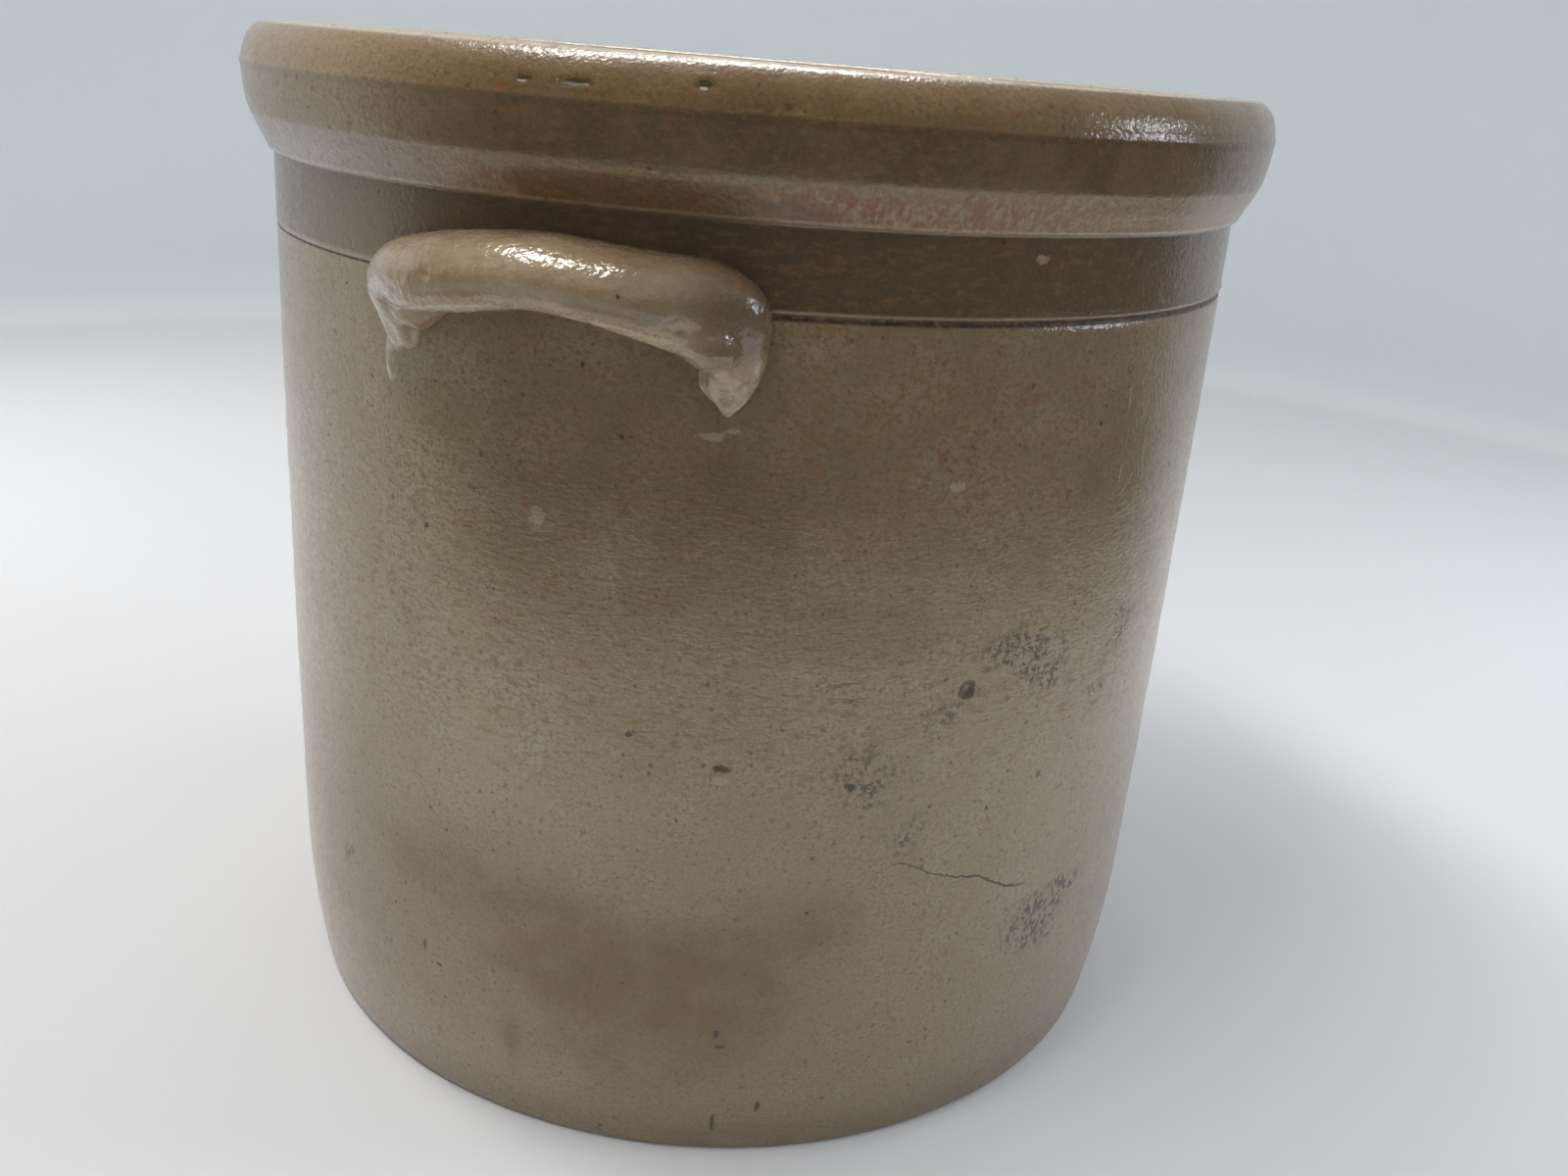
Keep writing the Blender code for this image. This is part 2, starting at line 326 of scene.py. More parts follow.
    def bump(self, height, distance, normal=None):
        node = self.add("ShaderNodeBump")
        self.feed(node.inputs["Height"], height)
        self.feed(node.inputs["Distance"], distance)
        self.feed(node.inputs["Strength"], 1.0)
        if normal is not None:
            self.feed(node.inputs["Normal"], normal)
        return node.outputs[0]

    def output(self, **values):
        for key, value in values.items():
            self.feed(self.shader.inputs[key.replace("_", " ")], value)
        if "Normal" in values and "Coat_Weight" in values:
            self.feed(self.shader.inputs["Coat Normal"], values["Normal"])
        return self.material


# ---- Crock ----

def wall_radius(z):
    """Outer radius of the wall: a shallow belly over a foot that draws in."""
    belly = BELLY_RADIUS - BELLY_BEND * (z - BELLY_HEIGHT) ** 2
    return belly - FOOT_DRAW * np.maximum(0.0, 1.0 - z / FOOT_HEIGHT) ** FOOT_POWER


def bore_radius(z):
    return BORE_RADIUS - BORE_BEND * (z - BORE_HEIGHT) ** 2


def arc(centre, radius, start, end, steps):
    angles = np.radians(np.linspace(start, end, steps + 1))
    return [(centre[0] + radius * math.cos(a), centre[1] + radius * math.sin(a)) for a in angles]


# The base, slightly hollow underneath: (radius, height)
BASE_RINGS = [(0.0, 0.0012), (0.05, 0.0011), (0.10, 0.0009), (0.128, 0.0004), (0.140, 0.0)]
FLOOR_RADII = (0.125, 0.11, 0.09, 0.06, 0.03, 0.0)
# Rows of the wall: from this height to just under the rim, closer together at the tooled line
WALL_START = 0.004
ROW_STEP = 0.0022
LINE_ROWS = [(LINE_HEIGHT - 0.003, LINE_HEIGHT + 0.003, 0.0005)]
# Where the rim meets the wall: (outside the wall's radius, above the rim's lower edge)
RIM_COVE = [(0.0002, -0.0001), (0.0009, 0.0)]
# The rolled rim, from its lower edge to the land on top: (inside its widest radius, above its lower edge)
RIM_SWELL = [
    (0.0086, 0.0003), (0.0073, 0.0032), (0.0057, 0.0064), (0.0042, 0.0098), (0.0038, 0.0106),
    (0.0034, 0.0118), (0.0028, 0.0150), (0.0024, 0.0190), (0.0021, 0.0228), (0.0019, 0.0243),
    (0.0023, 0.0256), (0.0028, 0.0280), (0.0040, 0.0311), (0.0062, 0.0338), (0.0085, 0.0353),
    (0.0104, 0.0358),
]
RIM_ROWS = 46
BORE_ROWS = 46
COLUMN_STEP = 1.42
FRONT_COLUMNS = [(-142, -4, 0.65)]


def crock_profile():
    """(radius, height) points from the base's centre, up the outside, over the rim and down inside.

    The second result is the number of the first point inside.
    """
    toe = wall_radius(FOOT_ROUND) - FOOT_ROUND - 0.0002
    base = BASE_RINGS + arc((toe, FOOT_ROUND), FOOT_ROUND, -90, -8, 5)
    wall = [(wall_radius(z), z) for z in graded(WALL_START, RIM_LOW - 0.0006, ROW_STEP, LINE_ROWS)]
    rim = [(wall_radius(RIM_LOW) + outside, RIM_LOW + rise) for outside, rise in RIM_COVE]
    rim += [(RIM_RADIUS - inset, RIM_LOW + rise) for inset, rise in spline(RIM_SWELL, RIM_ROWS)]
    land = [(radius, LAND_HEIGHT) for radius in LAND_RADII]
    land += arc((LIP_CENTRE, HEIGHT - LIP_ROUND), LIP_ROUND, 84, 172, 7)
    outer = base + wall + rim + land
    inner = [(bore_radius(z), z) for z in np.linspace(*BORE_SPAN, BORE_ROWS)]
    fillet_height = FLOOR_TOP + FLOOR_FILLET
    fillet_radius = bore_radius(fillet_height) - FLOOR_FILLET - 0.0004
    floor = arc((fillet_radius, fillet_height), FLOOR_FILLET, -5, -90, 7)
    floor += [(r, FLOOR_TOP) for r in FLOOR_RADII]
    return np.array(outer + inner + floor), len(outer)


# Marks on the wall: (angle, height, half width, half height, depth), a negative depth stands proud
PITS = [
    (-73, 0.137, 0.0019, 0.0016, 0.0011), (-47, 0.158, 0.0024, 0.0021, 0.0009),
    (-60, 0.131, 0.0016, 0.0013, 0.0006), (-122, 0.068, 0.0017, 0.0021, 0.0007),
    (-92, 0.202, 0.0026, 0.0034, -0.0005), (-51, 0.218, 0.0030, 0.0016, -0.0004),
    (-45, 0.277, 0.0024, 0.0015, -0.0006), (-107, 0.054, 0.0012, 0.0020, 0.0006),
    (-71, 0.047, 0.0011, 0.0020, 0.0006), (-71, 0.011, 0.0012, 0.0050, 0.0004),
    (20, 0.190, 0.0022, 0.0018, 0.0008), (64, 0.092, 0.0026, 0.0020, 0.0009),
    (112, 0.215, 0.0020, 0.0022, 0.0007), (151, 0.120, 0.0024, 0.0018, 0.0010),
    (178, 0.060, 0.0021, 0.0026, 0.0006), (-162, 0.172, 0.0018, 0.0015, 0.0008),
]
# Chips and slits on the rim, in the same order
CHIPS = [
    (-88.0, 0.3104, 0.0036, 0.0007, 0.0013), (-92.7, 0.3102, 0.0020, 0.0007, 0.0008),
    (-77.6, 0.3120, 0.0015, 0.0010, 0.0013), (-70.8, 0.3086, 0.0009, 0.0010, 0.0007),
    (-19.7, 0.3030, 0.0006, 0.0070, 0.0004), (-37, 0.2895, 0.0012, 0.0008, 0.0006),
    (38, 0.3110, 0.0022, 0.0010, 0.0008), (131, 0.3125, 0.0028, 0.0008, 0.0009),
    (-160, 0.2960, 0.0016, 0.0014, 0.0007),
]
PIT_LIP = 0.3                 # share of a pit's depth that its lip stands up
# Heights where the wrinkles start, are full, start to fade and are gone
WRINKLED = (0.110, 0.150, 0.200, 0.235)
# The tooled line: faint all round, and deep about one angle
LINE_FAINT = 0.22
LINE_DEEP_TURN = -38
LINE_DEEP_REACH = (66, 34)
LINE_DEPTH = 0.0010
LINE_HALF_WIDTH = 0.00085
LINE_RIDGE = 0.0003           # the clay pushed up above the line
RIDGE_RISE = 0.0018
RIDGE_HALF_WIDTH = 0.0009
# Relief of the thrown wall, in metres
WARP = 0.00045
THROWING_RINGS = 0.00007
RING_PITCH = 0.0135
LUMPINESS = 0.00016
WRINKLES = 0.00008
PLAIN_RADIUS = 0.12           # the base and floor inside this have no relief


def rippled(height):
    """Where the wall is wrinkled, 0 to 1."""
    start, full, fade, gone = WRINKLED
    return smooth(start, full, height) * (1 - smooth(fade, gone, height))


def tooled(angle):
    """How deep the tooled line is: full from the front handle's right end on, faint elsewhere."""
    off = np.abs(turn_between(angle, LINE_DEEP_TURN))
    return LINE_FAINT + (1 - LINE_FAINT) * smooth(*LINE_DEEP_REACH, off)


def wall_relief(angle, radius, height, points, outside):
    """How far each point of the crock stands out of its turned profile."""
    slow = noise_at(points, (5.0, 5.0, 6.0), 3.1)
    rings = np.sin(math.tau * height / RING_PITCH + 1.6 * slow + np.radians(angle))
    lift = WARP * slow + THROWING_RINGS * rings * (0.4 + noise_at(points, 9.0, 8.2))
    lift += LUMPINESS * noise_at(points, (28.0, 28.0, 46.0), 1.7)
    lift += WRINKLES * noise_at(points, (110.0, 110.0, 330.0), 5.5) * (0.2 + rippled(height))
    deep = tooled(angle)
    drift = height - LINE_HEIGHT - 0.0002 * slow
    lift -= LINE_DEPTH * deep * np.exp(-(drift / LINE_HALF_WIDTH) ** 2)
    lift += LINE_RIDGE * deep * np.exp(-((drift - RIDGE_RISE) / RIDGE_HALF_WIDTH) ** 2)
    for place, z, half_width, half_height, depth in PITS + CHIPS:
        across = np.radians(turn_between(angle, place)) * radius
        reach = (across / half_width) ** 2 + ((height - z) / half_height) ** 2
        near = reach < 9
        ragged = 1 + 0.5 * noise_at(points[near], 900.0, place)
        lift[near] -= depth * np.exp(-(reach[near] * ragged) ** 1.5)
        lift[near] += PIT_LIP * depth * np.exp(-((np.sqrt(reach[near]) - 1.5) / 0.35) ** 2)
    lift = np.where(outside, lift, 0.5 * lift)
    return np.where(radius > PLAIN_RADIUS, lift, 0.0)


def blobs(angle, height, places):
    """Soft stains: (angle, height, half turn, half height, strength), joined without hard sums."""
    clear = np.ones(len(angle))
    for place, z, half_turn, half_height, strength in places:
        reach = (turn_between(angle, place) / half_turn) ** 2 + ((height - z) / half_height) ** 2
        clear *= 1 - strength * np.exp(-reach)
    return 1 - clear


# Stains by name, each a list of (angle, height, half turn, half height, strength)
STAINS = {
    "low_cloud": [
        (-71, 0.060, 10, 0.030, 0.95), (-86, 0.066, 13, 0.018, 0.80), (-98, 0.086, 13, 0.015, 0.50),
        (-84, 0.036, 10, 0.022, 0.45), (-61, 0.085, 8, 0.015, 0.50), (-95, 0.030, 1.6, 0.016, 0.55),
        (-108, 0.085, 7, 0.012, 0.35), (35, 0.070, 22, 0.026, 0.70), (70, 0.050, 12, 0.020, 0.50),
        (150, 0.080, 18, 0.022, 0.60), (-160, 0.050, 14, 0.020, 0.45),
    ],
    "high_cloud": [
        (-74, 0.218, 20, 0.030, 0.75), (-30, 0.212, 12, 0.030, 0.35), (-92, 0.185, 12, 0.020, 0.50),
        (-62, 0.176, 16, 0.012, 0.45), (-26, 0.222, 14, 0.024, 0.55), (-105, 0.225, 16, 0.020, 0.30),
        (30, 0.210, 30, 0.028, 0.60), (100, 0.220, 34, 0.024, 0.60), (170, 0.205, 26, 0.026, 0.55),
    ],
    "burnt": [
        (-84, 0.2850, 11, 0.0100, 1.0), (-72, 0.2835, 10, 0.0050, 0.7), (100, 0.288, 26, 0.03, 0.9),
    ],
    "dusk": [
        (-84, 0.055, 30, 0.046, 1.0), (-36, 0.000, 38, 0.032, 1.0), (-116, 0.062, 20, 0.048, 0.85),
        (50, 0.060, 40, 0.040, 0.8), (150, 0.050, 30, 0.045, 0.9),
    ],
    "veined": [
        (-58, 0.160, 12, 0.014, 1.0), (-66, 0.150, 8, 0.010, 0.7), (30, 0.150, 12, 0.02, 0.9),
        (140, 0.165, 14, 0.018, 0.8),
    ],
    "flecked": [
        (-65, 0.2862, 9, 0.0050, 1.0), (-48, 0.2868, 14, 0.0048, 0.8), (120, 0.2860, 18, 0.0046, 0.8),
    ],
    "sallow": [
        (-104, 0.215, 8, 0.035, 1.0), (-94, 0.188, 9, 0.012, 0.7), (-98, 0.140, 18, 0.040, 0.5),
        (60, 0.150, 20, 0.040, 0.6), (165, 0.130, 16, 0.040, 0.5),
    ],
    "scuff": [
        (-41, 0.168, 5, 0.006, 0.9), (-36, 0.160, 4, 0.009, 0.8), (-31, 0.066, 6, 0.010, 0.9),
        (-27, 0.075, 5, 0.006, 0.8), (-58, 0.134, 6, 0.014, 0.5), (-52, 0.112, 4, 0.010, 0.4),
        (-27, 0.148, 2.5, 0.022, 0.42), (-23, 0.166, 2.0, 0.014, 0.42), (-50, 0.150, 4, 0.008, 0.40),
        (58, 0.140, 7, 0.012, 0.7), (128, 0.075, 6, 0.010, 0.7), (-170, 0.150, 6, 0.010, 0.5),
    ],
}
# Windows of angle where the upper wall, band and rim are browner: angles where each starts, is full, ends and
# is gone
# The lighter glaze outside the front window partly paints the glaze's edge reflections
BROWN_AND_EDGE_SHEEN = [(-116, -92, -22, 14), (58, 80, 140, 168)]


def toasted(angle):
    toast = np.zeros(len(angle))
    for start, full, fade, gone in BROWN_AND_EDGE_SHEEN:
        toast = np.maximum(toast, smooth(start, full, angle) * smooth(gone, fade, angle))
    return toast


def pitted(angle, height):
    """1 in the pits and -1 on the marks that stand proud."""
    dip = np.zeros(len(angle))
    for place, z, half_width, half_height, depth in PITS + CHIPS:
        gap = np.radians(turn_between(angle, place)) * BELLY_RADIUS
        reach = (gap / half_width) ** 2 + ((height - z) / half_height) ** 2
        dip = np.maximum(dip, np.exp(-reach) * np.sign(depth))
    return dip


def turned_mesh(name, points, rows, across):
    """A closed turned surface from a grid of points, whose first and last rows are each one point."""
    faces = []
    for i in range(1, rows - 2):
        for j in range(across):
            k = (j + 1) % across
            faces.append((i * across + j, i * across + k, (i + 1) * across + k, (i + 1) * across + j))
    last = (rows - 1) * across
    for j in range(across):
        k = (j + 1) % across
        faces.append((0, across + k, across + j))
        faces.append((last, last - across + j, last - across + k))
    keep = np.ones(len(points), bool)
    keep[1:across] = False
    keep[last + 1:] = False
    number = np.cumsum(keep) - 1
    mesh = bpy.data.meshes.new(name)
    mesh.from_pydata(points[keep].tolist(), [], [tuple(int(number[v]) for v in face) for face in faces])
    mesh.shade_smooth()
    return link_object(name, mesh), keep


def crock_body(material):
    profile, inner_start = crock_profile()
    columns = graded(-180.0, 180.0, COLUMN_STEP, FRONT_COLUMNS)[:-1]
    rows, across = len(profile), len(columns)
    tangent = np.gradient(profile, axis=0)
    length = np.hypot(tangent[:, 0], tangent[:, 1])
    out_r, out_z = tangent[:, 1] / length, -tangent[:, 0] / length
    angle = np.tile(columns, rows)
    radius = np.repeat(profile[:, 0], across)
    height = np.repeat(profile[:, 1], across)
    outside = np.repeat(np.arange(rows), across) < inner_start
    turn = np.radians(angle)
    points = np.c_[radius * np.cos(turn), radius * np.sin(turn), height]
    lift = wall_relief(angle, radius, height, points, outside)
    reach = radius + np.repeat(out_r, across) * lift
    points = np.c_[reach * np.cos(turn), reach * np.sin(turn), height + np.repeat(out_z, across) * lift]
    obj, keep = turned_mesh("crock_body_fired", points, rows, across)

    angle, height, outside = angle[keep], height[keep], outside[keep]
    set_mask(obj, "inside", ~outside)
    set_mask(obj, "tooled", tooled(angle))
    set_mask(obj, "toast", toasted(angle) * outside)
    set_mask(obj, "rippled", rippled(height) * outside)
    set_mask(obj, "pit", pitted(angle, height) * outside)
    for name, places in STAINS.items():
        set_mask(obj, name, blobs(angle, height, places) * outside)
    finish_piece(obj, "crock", "crock_body", material)


# ---- Salt glaze ----

# The two colours of each mottled part
CLAY = (0.338, 0.264, 0.16), (0.288, 0.216, 0.125)
BROWN = (0.112, 0.068, 0.019), (0.158, 0.104, 0.035)
OLIVE = (0.1, 0.064, 0.026), (0.14, 0.094, 0.042)
FACET = (0.202, 0.108, 0.038), (0.252, 0.182, 0.086)
HONEY = (0.168, 0.104, 0.033), (0.22, 0.152, 0.062)
SLIP = (0.06, 0.03, 0.016), (0.095, 0.05, 0.026)

# Drying cracks: angle and height where each starts, its length in degrees and how far it falls
CRACKS = [(-54.0, 0.1050, 21.0, 0.0215), (118.0, 0.1900, 15.0, -0.0080)]
# Small marks on the wall: (angle, height, half width in degrees, half height)
CLAY_SMEARS = [
    (-75.6, 0.2292, 1.3, 0.0011), (-73.6, 0.2312, 0.7, 0.0008), (-92.2, 0.2025, 0.8, 0.0030),
    (-51.5, 0.2180, 0.9, 0.0014), (-45.0, 0.2765, 0.9, 0.0012), (-29.4, 0.2370, 0.14, 0.0052),
    (-29.0, 0.2160, 0.12, 0.0034), (-72.8, 0.1328, 0.9, 0.0014),
    (66.0, 0.2150, 1.0, 0.0016), (140.0, 0.1830, 0.2, 0.0040), (-172.0, 0.2300, 1.1, 0.0012),
]
DARK_MARKS = [
    (-72.6, 0.1361, 0.9, 0.0013), (-59.3, 0.1310, 0.6, 0.0012), (-121.0, 0.0697, 0.6, 0.0018),
    (-82.1, 0.1442, 0.45, 0.0008),
    (-107.0, 0.0540, 0.3, 0.0022), (-104.8, 0.0493, 0.5, 0.0006), (-71.3, 0.0477, 0.3, 0.0020),
    (-70.8, 0.0430, 0.5, 0.0006), (-71.0, 0.0115, 0.24, 0.0046), (-66.0, 0.0190, 0.3, 0.0020),
    (-42.5, 0.1180, 0.25, 0.0010), (-35.2, 0.1240, 0.3, 0.0012), (-88.0, 0.2440, 0.3, 0.0008),
    (-84.0, 0.2270, 0.25, 0.0008), (64.0, 0.0925, 0.7, 0.0014), (151.0, 0.1200, 0.6, 0.0013),
    (178.0, 0.0600, 0.4, 0.0020), (96.0, 0.0360, 0.3, 0.0022), (30.0, 0.2400, 0.3, 0.0009),
]
# Slits in the rim, torn while the clay was wet
SLITS = [(-88.0, 0.3106, 1.45, 0.00045), (-92.7, 0.3103, 0.70, 0.00040), (-77.6, 0.3122, 0.48, 0.00060),
         (38.0, 0.3112, 0.80, 0.00050), (131.0, 0.3126, 0.95, 0.00045)]
# Painted highlight just under each slit, where the raised lower lip catches the light
SLIT_GLINTS = [(angle - 0.2 * wide, z - 1.7 * tall, 0.8 * wide, 0.7 * tall) for angle, z, wide, tall in SLITS]
RINGS = [(-47.3, 0.1581, 0.75, 0.0021), (121.0, 0.1480, 0.7, 0.0018)]


def crack_line(s):
    """Hairlines that wander down the wall, as a 0 to 1 mask."""
    wander = s.times(s.minus(s.noise(60.0, 4.0, 0.6), 0.5), 0.0075)
    total = 0.0
    for start, top, length, fall in CRACKS:
        along = s.over(s.minus(s.degrees, start), length)
        middle = s.minus(top, s.times(along, fall))
        away = s.away(s.plus(s.height, wander), middle)
        ends = s.times(s.step(along, 0.0, 0.06), s.step(along, 1.0, 0.8))
        width = s.step(along, 0.2, 0.6, 0.00022, 0.00042)
        line = s.step(s.over(away, width), 1.3, 0.6)
        total = s.plus(total, s.times(line, ends), clamp=True)
    return total


def marks(s, places, ragged, hollow=False):
    """Small marks with ragged edges, as a 0 to 1 mask; a hollow one is a ring."""
    total = 0.0
    for angle, z, half_turn, half_height in places:
        side = s.over(s.minus(s.degrees, angle), half_turn)
        rise = s.over(s.minus(s.height, z), half_height)
        reach = s.math("SQRT", s.plus(s.math("POWER", side, 2.0), s.math("POWER", rise, 2.0)))
        reach = s.plus(reach, ragged)
        if hollow:
            reach = s.times(s.away(reach, 1.0), 2.2)
        total = s.plus(total, s.step(reach, 1.1, 0.7), clamp=True)
    return total


def clouded_clay(s):
    """The bare clay under its fire clouds. Sets s.low and s.upper, where the clouds lie."""
    clay = s.mottled(*CLAY, s.drift)
    clay = s.mix(s.step(s.mottle, 0.40, 0.68, 0.0, 0.35), clay, (0.37, 0.31, 0.23))
    brown = s.mottled(*BROWN, s.mottle)
    ragged = s.plus(s.times(s.noise(26.0, 5.0, 0.62, (1.0, 1.0, 2.4)), 0.7), -0.35)
    s.low = s.step(s.plus(s.mask("low_cloud"), ragged), 0.12, 0.85)
    high = s.step(s.plus(s.mask("high_cloud"), ragged), 0.08, 0.90)
    s.upper = s.times(s.toast, s.step(s.plus(s.height, s.times(ragged, 0.06)), 0.150, 0.215))
    colour = s.tint(clay, brown, s.upper, 0.50)
    dusk = s.times(s.mask("dusk"), s.step(s.mottle, 0.2, 0.6, 0.7, 1.0))
    colour = s.tint(colour, (0.165, 0.1, 0.038), dusk, 0.55)
    colour = s.tint(colour, (0.122, 0.068, 0.018), s.low, s.step(s.mottle, 0.36, 0.60, 0.50, 0.74))
    colour = s.tint(colour, brown, high, 0.45)
    # Browner towards the foot: partly the foot's own colour, partly painted contact shade
    colour = s.mix(s.step(s.height, 0.024, 0.002, 0.0, 0.50), colour, brown)
    return s.mix(s.mask("sallow"), colour, (1.18, 1.25, 1.17), "MULTIPLY")


def banded(s, colour):
    """The dark band between the tooled line and the rim. Sets s.band and s.groove."""
    s.band = s.within(s.height, LINE_HEIGHT + 0.0006, LINE_HEIGHT + 0.0022,
                      RIM_LOW - 0.0006, RIM_LOW + 0.0002)
    dark = s.mix(s.step(s.degrees, -72.0, -44.0, 0.0, 0.25), (0.084, 0.046, 0.019), (0.15, 0.098, 0.045))
    colour = s.tint(colour, s.mix(s.toast, (0.19, 0.13, 0.07), dark), s.band, 0.92)
    half_width = s.plus(0.0002, s.times(s.mask("tooled"), 0.0008))
    groove = s.over(s.away(s.height, LINE_HEIGHT - 0.0002), half_width)
    s.groove = s.times(s.step(groove, 1.2, 0.6), s.step(s.fine, 0.30, 0.45, 0.4, 1.0))
    return s.tint(colour, (0.034, 0.02, 0.018), s.groove, 0.92)


def rim_colour(s):
    """The rim: a pinkish facet under an olive band, a honey shoulder and a cream land."""
    uneven = s.minus(s.mottle, 0.5)
    edge = s.plus(s.height, s.times(uneven, 0.003))
    facet = s.mix(s.step(s.fine, 0.40, 0.56), *FACET)
    facet = s.mix(s.step(edge, RIM_LOW + 0.0070, RIM_LOW + 0.0098, 0.0, 0.6), facet, (0.225, 0.176, 0.088))
    # lighter outside the windows: partly a painted edge reflection
    facet = s.mix(s.toast, (0.27, 0.212, 0.15), facet)
    burnt = s.step(s.plus(s.mask("burnt"), s.times(uneven, 1.2)), 0.30, 0.55)
    burnt = s.times(burnt, s.step(s.height, RIM_LOW + 0.0092, RIM_LOW + 0.0080))
    facet = s.tint(facet, (0.105, 0.056, 0.02), burnt, 0.9)
    strokes = s.step(s.noise(640.0, 2.0, 0.6, (1.0, 1.0, 0.16)), 0.49, 0.56)
    facet = s.tint(facet, (0.185, 0.04, 0.015), s.times(strokes, s.mask("flecked")), 0.95)

    olive = s.mix(s.step(s.mottle, 0.3, 0.7), *OLIVE)
    olive = s.mix(s.toast, (0.29, 0.21, 0.118), olive)
    rim = s.mix(s.step(edge, RIM_LOW + 0.0100, RIM_LOW + 0.0112), facet, olive)
    lower_edge = s.away(s.height, RIM_LOW + 0.0007)
    rim = s.mix(s.step(lower_edge, 0.0009, 0.0003, 0.0, 0.45), rim, (0.4, 0.32, 0.235))
    honey = s.mix(s.toast, (0.33, 0.225, 0.11), s.mottled(*HONEY, s.mottle))
    shoulder = s.minus(edge, s.times(s.step(s.mottle, 0.4, 0.7), 0.0015))
    rim = s.mix(s.step(shoulder, HEIGHT - 0.0142, HEIGHT - 0.0078), rim, honey)
    shoulder_line = s.step(s.away(s.height, HEIGHT - 0.0124), 0.0014, 0.0003, 0.0, 0.45)
    rim = s.tint(rim, (0.07, 0.038, 0.014), shoulder_line, s.mask("tooled"))
    return s.mix(s.step(s.height, HEIGHT - 0.0012, HEIGHT - 0.0004), rim, (0.62, 0.52, 0.37))


def speckled(s, colour):
    """Iron, salt and soot in the glaze, thin on the land."""
    land = s.step(s.height, HEIGHT - 0.0014, HEIGHT - 0.0005)
    amount = s.plus(s.step(s.mottle, 0.36, 0.60, 0.12, 0.60), s.times(s.upper, 0.35))
    amount = s.times(amount, s.minus(1.0, s.times(s.band, 0.6)))
    amount = s.times(amount, s.minus(1.0, s.times(land, 0.7)))
    rust = s.step(s.noise(640.0, 4.0, 0.75, (1.0, 1.0, 1.2)), 0.50, 0.58)
    colour = s.tint(colour, (0.195, 0.086, 0.028), s.times(rust, amount), 0.75)
    stain = s.step(s.noise(210.0, 4.0, 0.65, (1.0, 1.0, 2.6), 0.2), 0.50, 0.64)
    stained = s.plus(s.plus(s.mask("rippled"), s.upper), s.times(s.low, 0.8), clamp=True)
    colour = s.tint(colour, (0.215, 0.105, 0.038), s.times(stain, stained), 0.46)
    colour = s.tint(colour, (0.24, 0.1, 0.03), s.specks(290.0, 0.0013, 0.45, 11.0), 0.65)
    salt = s.noise(980.0, 2.0, 0.7)
    colour = s.mix(s.step(salt, 0.42, 0.66, 0.0, 0.30), colour, (0.66, 0.63, 0.6), "MULTIPLY")
    colour = s.mix(s.step(salt, 0.50, 0.30, 0.0, 0.32), colour, (1.24, 1.24, 1.26), "MULTIPLY")
    soot = s.step(s.noise(620.0, 3.0, 0.75, (1.0, 1.0, 1.2)), 0.59, 0.66, 0.0, 0.42)
    colour = s.tint(colour, (0.055, 0.034, 0.022), soot, s.minus(1.0, land))
    colour = s.tint(colour, (0.085, 0.045, 0.022), s.specks(260.0, 0.0010, 0.40), 0.65)
    return s.tint(colour, (0.022, 0.015, 0.012), s.specks(140.0, 0.0010, 0.30, 3.0), 0.85)


def kiln_marked(s, colour):
    """Scuffs, veins, cracks, smears, pits and a painted highlight under the slits. Sets s.scuff and s.slit.
    """
    streaks = s.noise(520.0, 4.0, 0.7, (1.0, 1.0, 0.8))
    patch = s.plus(s.mask("scuff"), s.minus(s.noise(110.0, 3.0, 0.6), 0.62))
    s.scuff = s.times(s.step(patch, 0.05, 0.45), s.step(streaks, 0.50, 0.54))
    threads = s.away(s.noise(34.0, 3.0, 0.5, (1.0, 1.0, 4.5), 0.8), 0.5)
    threads = s.times(s.step(threads, 0.012, 0.003), s.mask("veined"))
    ragged = s.times(s.minus(s.noise(480.0, 3.0, 0.65), 0.5), 2.6)
    torn_edge = s.times(ragged, 0.8)
    s.slit = marks(s, SLITS, torn_edge)
    return s.layered(colour, [
        (s.scuff, 0.72, (0.062, 0.04, 0.048)),
        (threads, 0.75, (0.13, 0.08, 0.045)),
        (crack_line(s), 0.85, (0.035, 0.022, 0.02)),
        (marks(s, CLAY_SMEARS, ragged), 0.45, (0.42, 0.35, 0.26)),
        (marks(s, RINGS, s.times(ragged, 0.4), hollow=True), 0.80, (0.07, 0.042, 0.026)),
        (marks(s, DARK_MARKS, ragged), 0.85, (0.035, 0.024, 0.018)),
        (s.slit, 0.55, (0.06, 0.04, 0.024)),
        # painted highlight on the slits' lower lips
        (marks(s, SLIT_GLINTS, torn_edge), 0.80, (0.62, 0.56, 0.45)),
        (s.step(s.mask("pit"), 0.30, 0.90), 0.50, (0.06, 0.04, 0.022)),
        (s.step(s.mask("pit"), -0.30, -0.85), 0.60, (0.45, 0.4, 0.32)),
    ])


def slip_colour(s):
    """Inside: a dark brown slip, poured round before firing."""
    slip = s.mottled(*SLIP, s.drift)
    return s.mix(s.specks(200.0, 0.0012, 0.3, 7.0), slip, (0.16, 0.09, 0.045))


